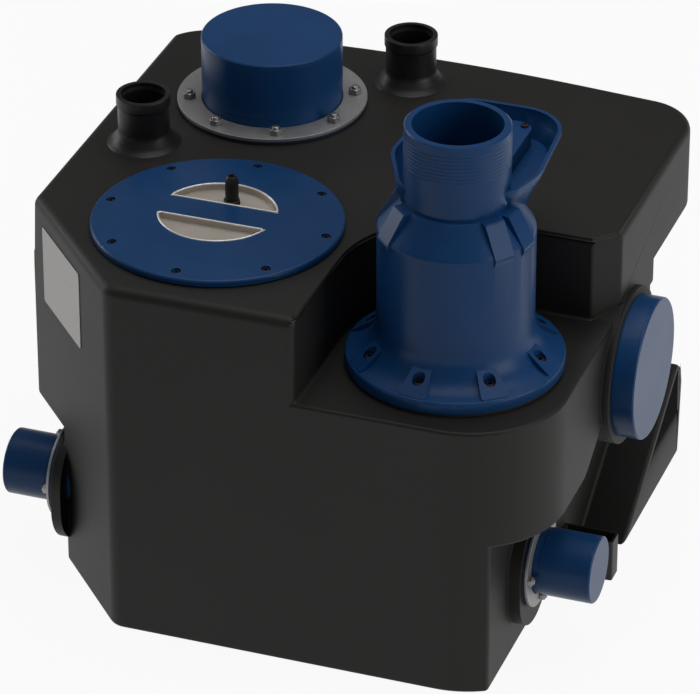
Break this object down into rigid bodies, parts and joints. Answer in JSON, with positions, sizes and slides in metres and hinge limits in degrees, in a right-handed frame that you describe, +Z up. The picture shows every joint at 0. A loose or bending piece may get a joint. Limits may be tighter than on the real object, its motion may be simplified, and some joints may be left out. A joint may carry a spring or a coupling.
{
  "type": "sewage lifting station",
  "caption": "Black moulded tank with a bolted inspection lid, cast discharge valve, closed pipe inlets, vents, and a pump, riser and level float inside.",
  "frame": {"origin": "on the floor, midway between the ends of the two side stubs and between the front and the back of the tank", "axes": "+Z up, +X to the right seen from the front, the front face looks along -Y"},
  "size_m": [0.69, 0.6332, 0.616],
  "materials": {
    "tank_plastic": "black moulded polyethylene, finely grained, with smoother worn edges",
    "accessory_plastic": "black moulded plastic",
    "pipe_blue": "dark blue pipe plastic, half gloss",
    "lid_blue": "dark blue moulded plastic, glossy",
    "valve_blue": "blue coating over a grey iron casting",
    "steel": "stainless steel, lightly brushed",
    "pan_steel": "pressed stainless plate",
    "plate": "bare satin plate",
    "seal_rubber": "black rubber",
    "pump_iron": "painted grey iron",
    "seat_brass": "turned brass",
    "float_plastic": "smooth hollow plastic"
  },
  "bodies": {
    "tank": {"tank_shell": "tank_plastic", "vent_sockets": "tank_plastic", "floor_anchor_left": "accessory_plastic", "floor_anchor_right": "accessory_plastic", "float_switch": "accessory_plastic", "name_plate": "plate", "vent_seals": "seal_rubber", "lid_gasket": "seal_rubber", "inlet_gasket": "seal_rubber", "side_inlet_seal": "seal_rubber", "stub_gasket_left": "seal_rubber", "stub_gasket_right": "seal_rubber", "valve_flange_gasket": "seal_rubber", "valve_cover_gasket": "seal_rubber", "riser_gasket_low": "seal_rubber", "riser_gasket_top": "seal_rubber", "pump_foot_pads": "seal_rubber", "shaft_seal": "seal_rubber", "inlet_ring": "steel", "inlet_bolts": "steel", "stub_ring_left": "steel", "stub_ring_right": "steel", "stub_bolts_left": "steel", "stub_bolts_right": "steel", "valve_flange_screws": "steel", "valve_flap_pin": "steel", "lower_bearing": "steel", "upper_bearing": "steel", "stator": "steel", "float_bracket": "steel", "float_pivot_pin": "steel", "top_inlet_spigot": "pipe_blue", "side_inlet_spigot": "pipe_blue", "stub_spigot_left": "pipe_blue", "stub_spigot_right": "pipe_blue", "discharge_valve_body": "valve_blue", "pump_volute": "pump_iron", "pump_feet": "pump_iron", "motor_housing": "pump_iron", "motor_cap": "pump_iron", "riser_pipe": "pump_iron", "valve_seat": "seat_brass"},
    "lid": {"inspection_lid": "lid_blue", "lid_pans": "pan_steel", "lid_screws": "steel", "cable_gland": "accessory_plastic"},
    "clean_out_cover": {"valve_cover": "valve_blue", "valve_cover_screws": "steel"},
    "pump_rotor": {"pump_shaft": "steel", "pump_impeller": "pump_iron", "rotor_core": "steel"},
    "flap": {"valve_flap": "pump_iron", "valve_flap_facing": "seal_rubber"},
    "float": {"float_arm": "steel", "float_ball": "float_plastic"},
    "top_plug": {"top_inlet_plug": "pipe_blue"},
    "side_plug": {"side_inlet_plug": "pipe_blue"},
    "left_plug": {"stub_plug_left": "pipe_blue"},
    "right_plug": {"stub_plug_right": "pipe_blue"}
  },
  "joints": [
    {"name": "lid_lift", "type": "slide", "parent": "tank", "child": "lid", "axis": [0, 0, 1], "range_m": [0, 0.35]},
    {"name": "cover_lift", "type": "slide", "parent": "tank", "child": "clean_out_cover", "axis": [0, 0, 1], "range_m": [0, 0.1]},
    {"name": "rotor_spin", "type": "hinge", "parent": "tank", "child": "pump_rotor", "pos_m": [-0.107, -0.125, 0.18], "axis": [0, 0, 1], "continuous": true},
    {"name": "flap_swing", "type": "hinge", "parent": "tank", "child": "flap", "pos_m": [0.174, -0.108, 0.364], "axis": [-1, 0, 0], "range_deg": [0, 70]},
    {"name": "float_swing", "type": "hinge", "parent": "tank", "child": "float", "pos_m": [0.04, 0.128, 0.23], "axis": [0, -1, 0], "range_deg": [0, 70]},
    {"name": "top_plug_pull", "type": "slide", "parent": "tank", "child": "top_plug", "axis": [0, 0, 1], "range_m": [0, 0.12]},
    {"name": "side_plug_pull", "type": "slide", "parent": "tank", "child": "side_plug", "axis": [1, 0, 0], "range_m": [0, 0.12]},
    {"name": "left_plug_pull", "type": "slide", "parent": "tank", "child": "left_plug", "axis": [-1, 0, 0], "range_m": [0, 0.12]},
    {"name": "right_plug_pull", "type": "slide", "parent": "tank", "child": "right_plug", "axis": [1, 0, 0], "range_m": [0, 0.12]}
  ]
}
